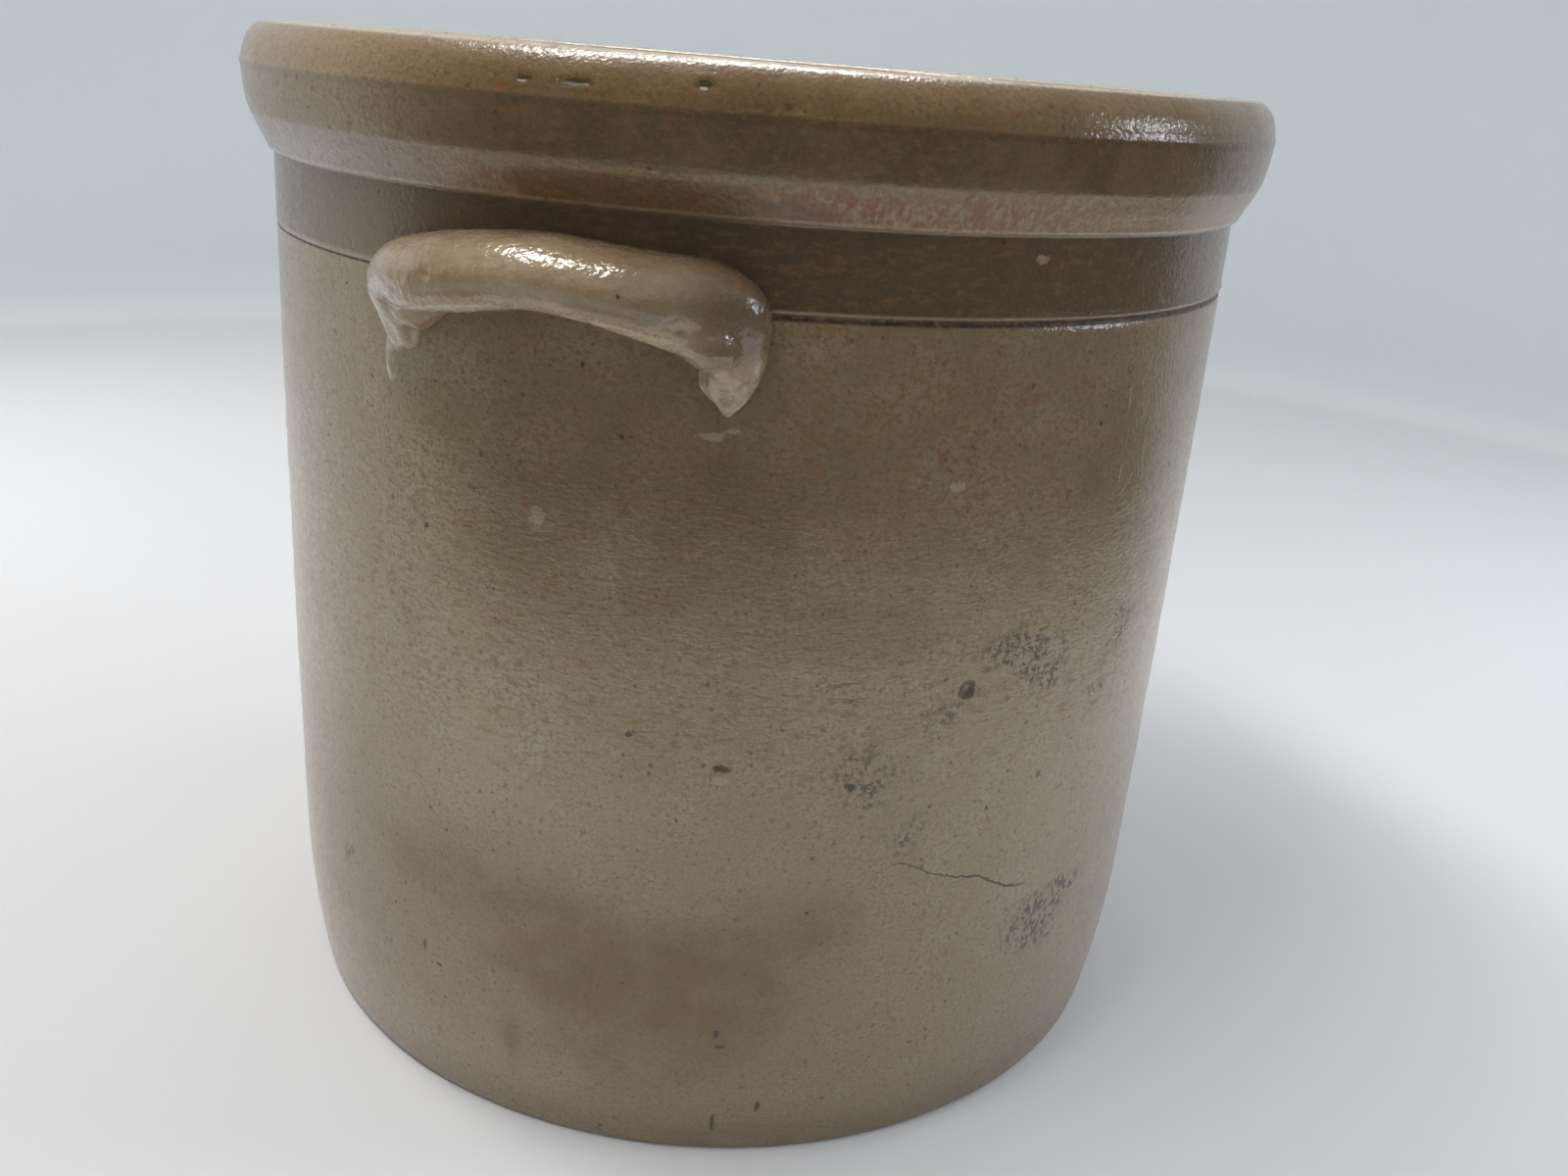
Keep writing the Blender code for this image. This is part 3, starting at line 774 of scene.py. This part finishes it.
def salt_glaze():
    s = Shading("salt_glaze_fired")
    s.find_turn()
    # lighter glaze outside the windows partly paints edge reflections
    s.toast = s.mask("toast")
    s.drift = s.noise(9.0, 3.0, 0.55)
    s.mottle = s.noise(60.0, 4.0, 0.6)
    s.fine = s.noise(420.0, 3.0, 0.65)
    colour = banded(s, clouded_clay(s))
    colour = s.mix(s.step(s.height, RIM_LOW - 0.0002, RIM_LOW + 0.0004), colour, rim_colour(s))
    colour = kiln_marked(s, speckled(s, colour))
    colour = s.mix(s.step(s.mask("inside"), 0.35, 0.65), colour, slip_colour(s))

    ripple = s.noise(260.0, 3.0, 0.55, (1.0, 1.0, 3.4), 0.4)
    ripple = s.times(ripple, s.plus(s.times(s.mask("rippled"), 0.9), 0.1))
    normal = s.bump(s.noise(760.0, 2.0, 0.55), 0.00021)
    normal = s.bump(s.slit, -0.00040, normal)
    normal = s.bump(ripple, 0.00026, normal)
    normal = s.bump(s.noise(1500.0, 2.0, 0.6), 0.00004, normal)
    rough = s.plus(s.step(s.fine, 0.3, 0.7, 0.32, 0.48), s.times(s.scuff, 0.3))
    return s.output(Base_Color=colour, Roughness=rough, Normal=normal,
                    Coat_Weight=s.step(s.groove, 0.2, 0.8, 0.65, 0.0), Coat_Roughness=0.06)


# ---- Lug handles ----

# Stations along a handle, left tip to right tip, in millimetres on the unrolled wall:
# (across, height below the crock's top, width, how far it stands out, leg share, open share)
LUG_STATIONS = [
    (-46.2, 78.0, 3.0, 1.5, 1.0, 0.0), (-47.2, 73.0, 8.5, 4.8, 1.0, 0.0),
    (-48.6, 66.5, 12.5, 8.6, 1.0, 0.0), (-48.0, 61.5, 15.0, 12.0, 0.6, 0.0),
    (-42.5, 57.2, 17.0, 16.0, 0.2, 0.0), (-31.5, 55.0, 18.0, 20.5, 0.0, 0.0),
    (-16.0, 52.6, 17.8, 23.5, 0.0, 0.0), (-1.0, 50.9, 16.0, 24.8, 0.0, 0.3),
    (13.0, 51.8, 15.9, 25.0, 0.0, 0.9), (25.0, 53.8, 18.3, 24.0, 0.0, 1.0),
    (34.5, 55.9, 21.2, 20.0, 0.1, 1.0), (42.0, 59.3, 20.5, 15.0, 0.4, 1.0),
    (44.6, 66.0, 14.0, 10.0, 0.8, 1.0), (44.3, 72.0, 12.5, 6.2, 1.0, 1.0),
    (43.4, 77.0, 10.0, 3.6, 1.0, 1.0), (43.0, 81.0, 5.5, 1.8, 1.0, 1.0),
    (43.2, 84.0, 1.2, 0.7, 1.0, 1.0),
]
# Sections, as (share of the stand-out, share of the width), root first and over the crest
LEG_SECTION = [(-0.30, 0.42), (0.0, 0.52), (0.40, 0.50), (0.72, 0.38), (0.92, 0.20), (1.0, 0.0),
               (0.97, -0.14), (0.88, -0.26), (0.74, -0.36), (0.56, -0.44), (0.36, -0.49),
               (0.16, -0.52), (0.0, -0.54), (-0.30, -0.42)]
CLOSED_SECTION = [(-0.12, 0.40), (0.02, 0.51), (0.33, 0.53), (0.62, 0.48), (0.84, 0.33), (0.97, 0.13),
                  (1.0, -0.01), (0.975, -0.10), (0.985, -0.19), (0.95, -0.32), (0.86, -0.44),
                  (0.70, -0.49), (0.40, -0.46), (-0.12, -0.58)]
OPEN_SECTION = [(-0.12, 0.40), (0.02, 0.51), (0.33, 0.53), (0.62, 0.48), (0.84, 0.33), (0.97, 0.13),
                (1.0, -0.01), (0.98, -0.10), (0.995, -0.19), (0.965, -0.32), (0.88, -0.45),
                (0.76, -0.50), (0.50, -0.36), (-0.12, -0.20)]
RING_POINTS = 40
RING_COUNT = 92
ROOT_DEPTH = 3.0              # millimetres that the roots run into the wall
ROOT_SHARE = 0.12             # a section this far behind the wall is at full depth
# Lumps of clay at the ends: place, half sizes and tilt in radians
LUMPS = [
    ((-0.0492, 0.2618, 0.0000), (0.0098, 0.0070, 0.0048), 0.5),
    ((-0.0515, 0.2480, 0.0000), (0.0052, 0.0080, 0.0040), 0.2),
    ((-0.0545, 0.2385, -0.0034), (0.0046, 0.0135, 0.0044), -0.10),
    ((-0.0405, 0.2530, 0.0030), (0.0085, 0.0060, 0.0060), 0.35),
    ((0.0380, 0.2545, 0.0095), (0.0078, 0.0064, 0.0098), -0.5),
    ((0.0398, 0.2440, -0.0002), (0.0050, 0.0062, 0.0036), 0.3),
]
LUG_VOXEL = 0.0008
LUG_RELAX_ROUNDS = 18
# Unevenness of the clay: (metres, noise scale, step of the seed), with more at the torn tips
LUG_RELIEF = [(0.00030, 85.0, 0), (0.00010, 260.0, 0), (0.00050, 38.0, 3)]
TIP_RELIEF = [(0.0014, (260.0, 260.0, 90.0), 4), (0.0007, (420.0, 420.0, 200.0), 6)]
TIP_HEIGHTS = (0.252, 0.244)
TIP_ACROSS = (0.025, 0.038)
# Dents: (across, height, half across, half height, depth)
LUG_DENTS = [(-0.0235, 0.2650, 0.0011, 0.0009, 0.0012), (0.0330, 0.2585, 0.0012, 0.0009, 0.0010)]
ROOT_BLEND = 0.002            # the relief fades out this close to the wall


def on_wall(across, height, outward, facing):
    """Unrolled wall coordinates to points, for a handle that faces the given angle."""
    radius = wall_radius(height)
    angle = math.radians(facing) + across / radius
    reach = radius + outward
    return np.c_[reach * np.cos(angle), reach * np.sin(angle), height]


def off_wall(points, facing):
    """The reverse of on_wall: (across, height, outward) of each point."""
    radius = wall_radius(points[:, 2])
    angle = np.degrees(np.arctan2(points[:, 1], points[:, 0]))
    across = np.radians(turn_between(angle, facing)) * radius
    return across, points[:, 2], np.hypot(points[:, 0], points[:, 1]) - radius


def lug_rings(stations):
    """Sections swept along the stations, as (across, height, outward) arrays."""
    path = spline(stations, RING_COUNT)
    ahead = np.gradient(path[:, :2] * (1, -1), axis=0)
    ahead /= np.hypot(ahead[:, 0], ahead[:, 1])[:, None]
    leg, closed, opened = (np.array(section) for section in (LEG_SECTION, CLOSED_SECTION, OPEN_SECTION))
    rings = []
    for (across, drop, width, proud, leg_share, open_share), (run, rise) in zip(path, ahead):
        leg_share, open_share = np.clip((leg_share, open_share), 0, 1)
        section = leg * leg_share + (closed + (opened - closed) * open_share) * (1 - leg_share)
        section = ring_spline(section, RING_POINTS)
        out, up = section[:, 0], section[:, 1] * width
        root = -ROOT_DEPTH * np.minimum(1, -out / ROOT_SHARE)
        outward = np.where(out < 0, root, out * proud)
        rings.append(np.c_[across - rise * up, HEIGHT / MM - drop + run * up, outward] * MM)
    return rings


def add_lump(bm, place, size, facing, tilt):
    """A lump of clay at (across, height, outward), with half sizes in the same order."""
    made = bmesh.ops.create_icosphere(bm, subdivisions=4, radius=1.0)
    spin = Matrix.Rotation(tilt, 3, "Z")
    for vert in made["verts"]:
        local = Vector(place) + spin @ Vector(c * s for c, s in zip(vert.co, size))
        vert.co = on_wall(*local, facing)[0]


def remesh_and_relax(obj, voxel, rounds):
    """One skin over everything in the object, evened out."""
    modifier = obj.modifiers.new("skin", "REMESH")
    modifier.mode = "VOXEL"
    modifier.voxel_size = voxel
    relax = obj.modifiers.new("relax", "SMOOTH")
    relax.factor = 0.5
    relax.iterations = rounds
    depsgraph = bpy.context.evaluated_depsgraph_get()
    mesh = bpy.data.meshes.new_from_object(obj.evaluated_get(depsgraph), depsgraph=depsgraph)
    obj.modifiers.clear()
    old = obj.data
    obj.data = mesh
    bpy.data.meshes.remove(old)
    obj.data.shade_smooth()


def roughen_lug(obj, facing, seed):
    points, normals = points_of(obj), normals_of(obj)
    across, height, outward = off_wall(points, facing)
    tips = smooth(*TIP_HEIGHTS, height) * smooth(*TIP_ACROSS, np.abs(across))
    lift = sum(amount * noise_at(points, scale, seed + step) for amount, scale, step in LUG_RELIEF)
    lift += tips * sum(amount * noise_at(points, scale, seed + step) for amount, scale, step in TIP_RELIEF)
    for place, z, half_across, half_height, depth in LUG_DENTS:
        lift -= depth * np.exp(-((across - place) / half_across) ** 2 - ((height - z) / half_height) ** 2)
    set_points(obj, points + normals * (lift * smooth(0.0, ROOT_BLEND, outward))[:, None])
    return across, height, outward


def lug_handle(name, node, facing, seed, side, material):
    """side is 1 for a handle as listed, or -1 for its mirror image."""
    stations = np.array(LUG_STATIONS)[::side] * (side, 1, 1, 1, 1, 1)
    bm = bmesh.new()
    rings = [on_wall(*ring.T, facing) for ring in lug_rings(stations)]
    verts = [[bm.verts.new(p) for p in ring] for ring in rings]
    for ring, following in zip(verts, verts[1:]):
        for k in range(RING_POINTS):
            after = (k + 1) % RING_POINTS
            bm.faces.new((ring[k], ring[after], following[after], following[k]))
    bm.faces.new(verts[0])
    bm.faces.new(list(reversed(verts[-1])))
    for (across, height, outward), size, tilt in LUMPS:
        add_lump(bm, (side * across, height, outward), size, facing, side * tilt)
    bmesh.ops.recalc_face_normals(bm, faces=bm.faces)
    obj = object_from(name, bm)
    remesh_and_relax(obj, LUG_VOXEL, LUG_RELAX_ROUNDS)
    across, height, outward = roughen_lug(obj, facing, seed)
    set_mask(obj, "across", across / MM * side)
    set_mask(obj, "rise", height / MM)
    set_mask(obj, "proud", outward / MM)
    finish_piece(obj, "crock", node, material)


def pale_glaze():
    """The handles' glaze. The masks across, rise and proud hold places on the handle in millimetres."""
    s = Shading("pale_glaze_fired")
    across, rise = s.mask("across"), s.mask("rise")
    mottle = s.noise(70.0, 4.0, 0.6)
    fine = s.noise(420.0, 3.0, 0.65)
    bow = s.plus(across, -2.0)
    crown = s.times(s.times(bow, bow), 0.0045)
    level = s.plus(s.plus(rise, crown), s.times(s.minus(mottle, 0.5), 3.0))

    cream = s.mottled((0.3, 0.212, 0.118), (0.385, 0.29, 0.178), mottle)
    cream = s.mix(s.step(fine, 0.40, 0.70, 0.0, 0.6), cream, (0.3, 0.19, 0.105))
    cream = s.mix(s.step(s.noise(28.0, 2.0), 0.45, 0.70, 0.0, 0.5), cream, (0.3, 0.19, 0.07))
    toasted_end = s.times(s.step(across, 4.0, 30.0), s.step(rise, 256.0, 264.0))

    # under the crest: an olive face, a bluish-grey ridge (partly a painted highlight), a row of iron flecks
    # and the cream lip
    middle = s.within(across, -36.0, -28.0, 28.0, 38.0)
    face = s.times(s.step(level, 266.5, 264.5), middle)
    ridge = s.times(s.within(level, 263.4, 264.2, 265.0, 266.2), middle)
    row = s.within(level, 260.2, 260.6, 261.4, 261.8)
    flecks = s.times(s.times(row, s.step(s.noise(760.0, 2.0, 0.6), 0.46, 0.54)), middle)
    lip = s.times(s.step(level, 260.7, 260.0), middle)
    cove = s.times(s.step(level, 256.8, 255.2), middle)

    # the left end: an ochre hollow with one red spot, and a pale leg
    hollow = s.times(s.within(across, -51.0, -47.0, -37.0, -31.0), s.within(rise, 244.0, 247.0, 258.0, 261.0))
    spot = s.plus(s.math("POWER", s.plus(across, 46.5), 2.0), s.math("POWER", s.plus(rise, -254.0), 2.0))
    left_leg = s.times(s.step(across, -44.0, -50.0), s.step(rise, 258.0, 249.0))

    # the right end: a purplish shoulder over a ridged leg
    shoulder = s.times(s.step(across, 29.0, 43.0), s.step(rise, 246.0, 255.0))
    right_leg = s.times(s.step(across, 30.0, 36.0), s.step(rise, 253.0, 247.0))
    ridges = s.step(s.noise(150.0, 3.0, 0.6, (1.0, 1.0, 0.6)), 0.42, 0.58)
    ridged = s.mix(ridges, (0.255, 0.16, 0.088), (0.41, 0.31, 0.19))

    colour = s.layered(cream, [
        (toasted_end, 0.60, (0.14, 0.098, 0.05)),
        (face, 0.25, (0.26, 0.195, 0.11)),
        # glaze colour with a painted highlight along the ridge
        (ridge, 0.35, (0.34, 0.31, 0.26)),
        (flecks, 0.80, (0.27, 0.11, 0.022)),
        (lip, 0.80, (0.42, 0.33, 0.19)),
        (cove, 0.90, (0.25, 0.19, 0.105)),
        (hollow, 0.85, (0.24, 0.15, 0.055)),
        (s.step(spot, 2.6, 0.8), 0.90, (0.18, 0.05, 0.02)),
        (left_leg, 0.75, (0.47, 0.425, 0.33)),
        (shoulder, 0.80, (0.135, 0.084, 0.052)),
        (right_leg, 0.85, ridged),
        (s.step(rise, 243.0, 236.0), 0.25, (0.48, 0.4, 0.285)),  # tips
        # painted shade in the crease where the handle meets the wall
        (s.step(s.mask("proud"), 1.6, 0.3), 0.55, (0.24, 0.18, 0.105)),  # seam with the wall
        (s.specks(170.0, 0.001, 0.25, 2.0), 0.90, (0.05, 0.025, 0.015)),
        (s.step(fine, 0.60, 0.70), 0.35, (0.36, 0.16, 0.06)),
    ])

    normal = s.bump(s.noise(560.0, 2.0, 0.5, (0.8, 0.8, 1.0)), 0.00038)
    normal = s.bump(s.noise(1500.0, 2.0, 0.6), 0.00003, normal)
    return s.output(Base_Color=colour, Roughness=s.step(fine, 0.3, 0.7, 0.18, 0.32), Normal=normal,
                    Coat_Weight=0.8, Coat_Roughness=0.05)


# ---- Pieces inside ----

GRAIN_STRETCH = 14.0          # how much finer the wood's noise is across the grain than along it


def oak(name, light, dark, along):
    """Weathered wood whose grain runs along the given axis."""
    s = Shading(name)
    stretch = tuple(1.0 if axis == along else GRAIN_STRETCH for axis in "xyz")
    lines = s.noise(12.0, 5.0, 0.6, stretch, 0.5)
    pores = s.noise(60.0, 3.0, 0.7, stretch)
    blot = s.noise(22.0, 3.0, 0.5)
    colour = s.mottled(light, dark, lines)
    colour = s.mix(s.step(pores, 0.58, 0.70, 0.0, 0.6), colour, tuple(0.4 * c for c in dark))
    colour = s.mix(s.step(blot, 0.45, 0.75, 0.0, 0.45), colour, tuple(0.6 * c for c in light))
    normal = s.bump(pores, 0.0003, s.bump(lines, 0.0005))
    return s.output(Base_Color=colour, Roughness=s.step(lines, 0.3, 0.7, 0.55, 0.75), Normal=normal)


def weight_clay():
    s = Shading("weight_glaze_fired")
    fine = s.noise(420.0, 3.0, 0.65)
    colour = s.mottled((0.47, 0.40, 0.30), (0.55, 0.48, 0.38), s.noise(50.0, 4.0, 0.6))
    colour = s.mix(s.step(fine, 0.58, 0.70, 0.0, 0.4), colour, (0.33, 0.20, 0.11))
    colour = s.tint(colour, (0.05, 0.03, 0.02), s.specks(180.0, 0.0012, 0.3, 5.0), 0.85)
    normal = s.bump(s.noise(560.0, 2.0, 0.5), 0.00022)
    return s.output(Base_Color=colour, Roughness=s.step(fine, 0.3, 0.7, 0.30, 0.45), Normal=normal,
                    Coat_Weight=0.3, Coat_Roughness=0.15)


def carry_over(kind, material):
    """Finish the CAD nodes whose names hold this kind, which keep their shapes."""
    for name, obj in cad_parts.items():
        if kind in name:
            set_material(obj, material)


# ---- Stage ----

FLOOR_PAINT = (0.81, 0.81, 0.82)
WALL_PAINT = (0.70, 0.74, 0.76)
UNLIT = (0.03, 0.03, 0.03)
SKY = (0.94, 0.96, 1.0, 1.0)
SKY_STRENGTH = 0.30
WARM_WHITE = (1.0, 0.98, 0.95)
# Soft panels, placed round the crock like the camera is, where turn 0 is the camera's side:
# (name, turn, distance, height, size, power, colour, aim, how it shows)
LIGHTS = [
    ("overhead", -70, 0.47, 1.35, (0.95, 0.20), 9.5, WARM_WHITE, (0, 0, 0.2), "lit"),
    ("tube", -153, 0.37, 1.40, (1.00, 0.22), 15.5, WARM_WHITE, (0, 0, 0.2), "reflected"),
    ("window", 84, 1.10, 0.62, (0.14, 0.12), 1.3, (0.80, 0.87, 1.0), (0, 0, 0.2), "lit, reflected"),
    ("right_panel", 105, 0.95, 0.75, (0.5, 0.5), 2.6, (0.95, 0.97, 1.0), (0.32, -0.05, 0.05), "lit"),
    ("left_panel", -120, 0.9, 0.55, (0.4, 0.4), 1.6, (1.0, 0.98, 0.96), (-0.30, 0.08, 0.05), "lit"),
]


def stage_material(dark_from, dark_to):
    """Pale, but dark in the glaze's reflections over a sector of angles, like an unlit room."""
    s = Shading("stage_paint")
    s.find_turn()
    sector = s.within(s.degrees, dark_from - 6, dark_from + 6, dark_to - 2, dark_to + 2)
    far = s.add("ShaderNodeVectorMath", operation="LENGTH")
    s.feed(far.inputs[0], s.place)
    sector = s.times(sector, s.step(far.outputs["Value"], 0.45, 0.70))
    dark = s.times(sector, s.add("ShaderNodeLightPath").outputs["Is Glossy Ray"])
    paint = s.mix(s.step(s.height, 0.004, 0.03), FLOOR_PAINT, WALL_PAINT)
    s.output(Base_Color=s.mix(dark, paint, UNLIT), Roughness=0.9)
    s.feed(s.shader.inputs["Specular IOR Level"], 0.1)
    return s.material


def stage():
    """A round floor that turns up into a wall all round."""
    turn_start = STAGE_RADIUS - STAGE_SWEEP
    profile = [(0.0, 0.0), (0.3, 0.0), (0.7, 0.0), (turn_start, 0.0)]
    profile += arc((turn_start, STAGE_SWEEP), STAGE_SWEEP, -90, 0, 10)
    profile += [(STAGE_RADIUS, 0.5), (STAGE_RADIUS, STAGE_HEIGHT)]
    bm = bmesh.new()
    ring = [bm.verts.new((r, 0.0, z - STAGE_DROP)) for r, z in profile]
    edges = [bm.edges.new(pair) for pair in zip(ring, ring[1:])]
    bmesh.ops.spin(bm, geom=ring + edges, cent=(0, 0, 0), axis=(0, 0, 1), angle=math.tau,
                   steps=96, use_merge=True)
    bmesh.ops.remove_doubles(bm, verts=bm.verts, dist=1e-6)
    bmesh.ops.recalc_face_normals(bm, faces=bm.faces)
    floor = object_from("stage_floor", bm)
    set_material(floor, stage_material(VIEW_TURN - 170, VIEW_TURN + 18))


def world_light():
    world = bpy.data.worlds.new("room")
    world.use_nodes = True
    background = world.node_tree.nodes["Background"]
    background.inputs["Color"].default_value = SKY
    background.inputs["Strength"].default_value = SKY_STRENGTH
    bpy.context.scene.world = world


def area_light(name, turn, distance, height, size, power, colour, aim, shows):
    lamp = bpy.data.lights.new(name, "AREA")
    lamp.shape = "RECTANGLE"
    lamp.size, lamp.size_y = size
    lamp.energy = power
    lamp.color = colour
    obj = link_object(name, lamp)
    obj.visible_camera = False
    obj.visible_glossy = "reflected" in shows
    obj.visible_diffuse = "lit" in shows
    angle = math.radians(VIEW_TURN - 90 + turn)
    obj.location = (distance * math.cos(angle), distance * math.sin(angle), height)
    obj.rotation_euler = (Vector(aim) - obj.location).to_track_quat("-Z", "Y").to_euler()


def camera():
    data = bpy.data.cameras.new("view")
    data.lens = VIEW_LENS
    data.sensor_width = 36.0
    data.clip_start = 0.01
    obj = link_object("view", data)
    turn = Matrix.Rotation(math.radians(VIEW_TURN), 4, "Z")
    look = (Matrix.Rotation(math.radians(-VIEW_YAW), 4, "Z")
            @ Matrix.Rotation(math.radians(90 - VIEW_PITCH), 4, "X")
            @ Matrix.Rotation(math.radians(VIEW_ROLL), 4, "Z"))
    place = Matrix.Translation((0, -VIEW_DISTANCE, VIEW_HEIGHT))
    obj.matrix_world = turn @ place @ look
    bpy.context.scene.camera = obj


# ---- Build ----

crock_body(salt_glaze())
lug_clay = pale_glaze()
lug_handle("front_lug", "front_handle", -90.0, 2.0, 1, lug_clay)
lug_handle("back_lug", "back_handle", 90.0, 9.0, -1, lug_clay)
carry_over("_board", oak("board_wood_worn", (0.36, 0.24, 0.13), (0.23, 0.14, 0.07), "y"))
carry_over("_batten", oak("batten_wood_worn", (0.33, 0.22, 0.12), (0.20, 0.12, 0.06), "x"))
carry_over("_peg_", oak("peg_wood_worn", (0.45, 0.31, 0.17), (0.30, 0.19, 0.10), "z"))
carry_over("_half_weight", weight_clay())

stage()
world_light()
for light in LIGHTS:
    area_light(*light)
camera()
bpy.context.scene.view_settings.view_transform = "Standard"
